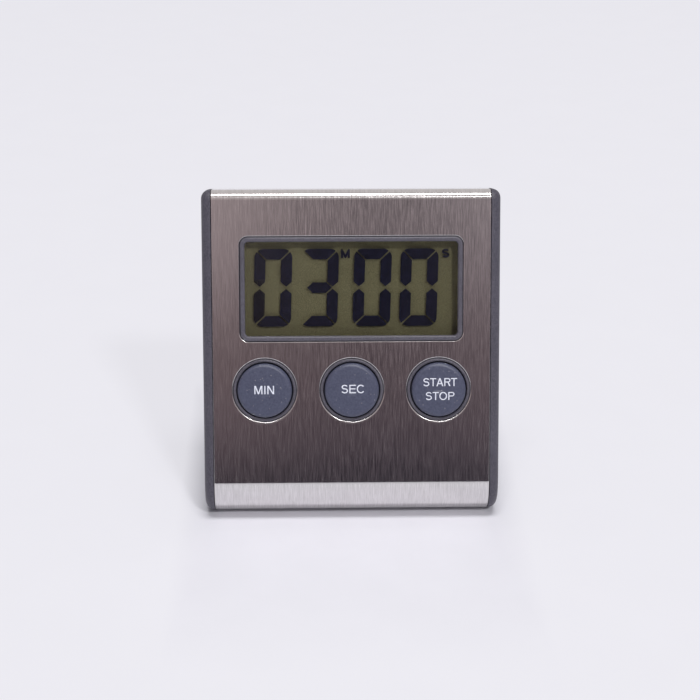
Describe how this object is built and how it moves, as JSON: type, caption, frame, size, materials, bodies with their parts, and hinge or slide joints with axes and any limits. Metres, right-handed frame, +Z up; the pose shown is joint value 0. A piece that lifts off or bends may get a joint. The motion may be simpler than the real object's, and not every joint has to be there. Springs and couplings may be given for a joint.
{
  "type": "kitchen timer",
  "caption": "Free-standing digital countdown timer: bent brushed steel face on a dark wedge case, segment display, round push buttons, hinged battery door and magnetic back.",
  "frame": {"origin": "middle of the footprint, on the surface that the feet stand on", "axes": "+Z up, +Y to the back, +X to the right of someone who reads the face"},
  "size_m": [0.07, 0.03, 0.0757],
  "materials": {
    "brushed_steel": "vertically brushed stainless steel sheet",
    "case_plastic": "fine-grained dark slate grey moulding",
    "frame_plastic": "fine-grained mid grey moulding",
    "button_plastic": "satin slate blue moulding",
    "clear_lens": "clear polished acrylic",
    "display_glass": "thin clear glass",
    "display_ink": "near-black liquid crystal bars",
    "display_reflector": "olive reflective film",
    "holder_plastic": "natural white moulding",
    "circuit_laminate": "green solder mask on laminate",
    "chip_epoxy": "black epoxy drop",
    "crystal_can": "drawn metal can",
    "component_ceramic": "chip component body with tinned ends",
    "keypad_silicone": "translucent grey silicone",
    "carbon_pill": "carbon-filled silicone",
    "striped_silicone": "silicone with fine carbon stripes",
    "buzzer_brass": "rolled brass disc",
    "buzzer_ceramic": "silvered piezo ceramic",
    "contact_metal": "nickel-plated spring strip",
    "battery_jacket": "plain printed foil jacket with bare metal ends",
    "magnet": "sintered ferrite",
    "screw_steel": "zinc-plated steel",
    "red_wire": "insulated wire",
    "black_wire": "insulated wire",
    "foot_rubber": "soft black rubber"
  },
  "bodies": {
    "case": {"front_plate": "brushed_steel", "front_frame": "frame_plastic", "rear_case": "case_plastic", "display_window": "clear_lens", "lcd_front_glass": "display_glass", "lcd_segments": "display_ink", "lcd_rear_glass": "display_glass", "lcd_reflector": "display_reflector", "lcd_holder": "holder_plastic", "upper_zebra_strip": "striped_silicone", "lower_zebra_strip": "striped_silicone", "circuit_board": "circuit_laminate", "chip_cover": "chip_epoxy", "timing_crystal": "crystal_can", "board_components": "component_ceramic", "keypad_mat": "keypad_silicone", "buzzer_plate": "buzzer_brass", "buzzer_ceramic": "buzzer_ceramic", "buzzer_leads": "black_wire", "battery_cell": "battery_jacket", "positive_contact": "contact_metal", "negative_contact": "contact_metal", "positive_lead": "red_wire", "negative_lead": "black_wire", "left_magnet": "magnet", "right_magnet": "magnet", "case_screws": "screw_steel", "board_screws": "screw_steel", "front_foot": "foot_rubber", "rear_foot": "foot_rubber"},
    "minutes_key": {"minutes_button": "button_plastic", "minutes_contact": "carbon_pill"},
    "seconds_key": {"seconds_button": "button_plastic", "seconds_contact": "carbon_pill"},
    "start_stop_key": {"start_stop_button": "button_plastic", "start_stop_contact": "carbon_pill"},
    "battery_door": {"battery_door": "case_plastic"}
  },
  "joints": [
    {"name": "minutes_press", "type": "slide", "parent": "case", "child": "minutes_key", "axis": [0, 0.9511, -0.309], "range_m": [0, 0.0008], "stiffness_N_per_m": 2000, "deforming": ["keypad_mat"]},
    {"name": "seconds_press", "type": "slide", "parent": "case", "child": "seconds_key", "axis": [0, 0.9511, -0.309], "range_m": [0, 0.0008], "stiffness_N_per_m": 2000, "deforming": ["keypad_mat"]},
    {"name": "start_stop_press", "type": "slide", "parent": "case", "child": "start_stop_key", "axis": [0, 0.9511, -0.309], "range_m": [0, 0.0008], "stiffness_N_per_m": 2000, "deforming": ["keypad_mat"]},
    {"name": "battery_door_swing", "type": "hinge", "parent": "case", "child": "battery_door", "pos_m": [0, 0.0139, 0.006], "axis": [-1, 0, 0], "range_deg": [0, 90]}
  ]
}
